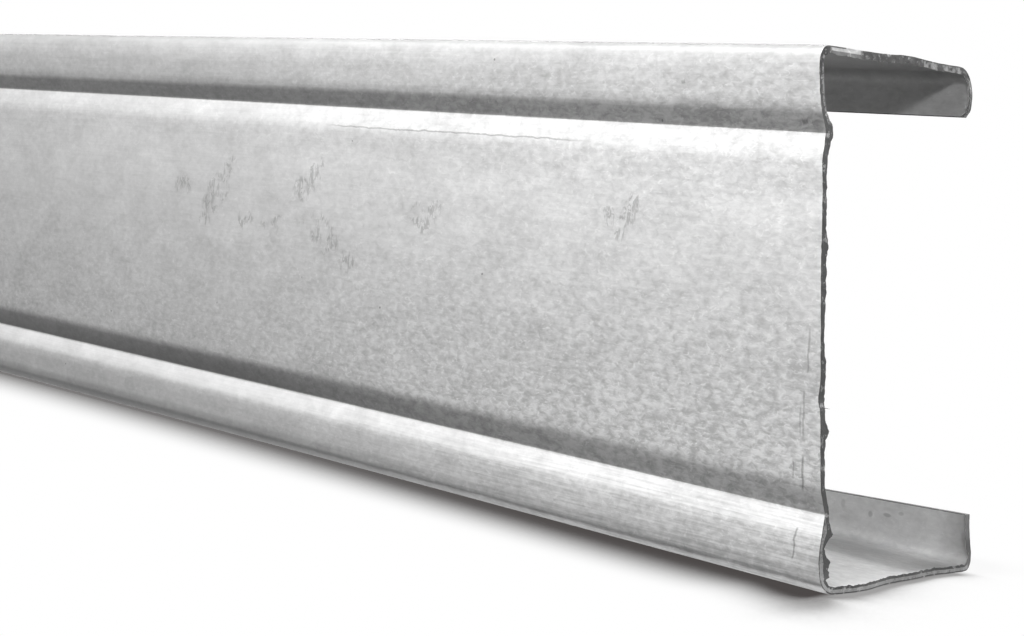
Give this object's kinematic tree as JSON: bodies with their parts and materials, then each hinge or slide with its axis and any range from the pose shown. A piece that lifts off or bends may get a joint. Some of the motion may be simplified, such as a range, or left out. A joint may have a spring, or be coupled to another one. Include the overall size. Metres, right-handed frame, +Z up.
{
  "type": "lipped steel channel",
  "caption": "Straight length of lipped C-channel, cold-formed from thin galvanised steel sheet, with pressed grooves along the web and one rough hand-cut end.",
  "frame": {"origin": "bottom centre of the channel's bounding box, on the floor under its lower flange", "axes": "+X along the length towards the hand-cut end, +Y from the web's outer face towards the lips, +Z up the web"},
  "size_m": [1, 0.038, 0.075],
  "materials": {
    "galvanised_steel": "hot-dip galvanised, fine mottled spangle, satin"
  },
  "bodies": {
    "root": {"c_channel": "galvanised_steel"}
  },
  "joints": []
}
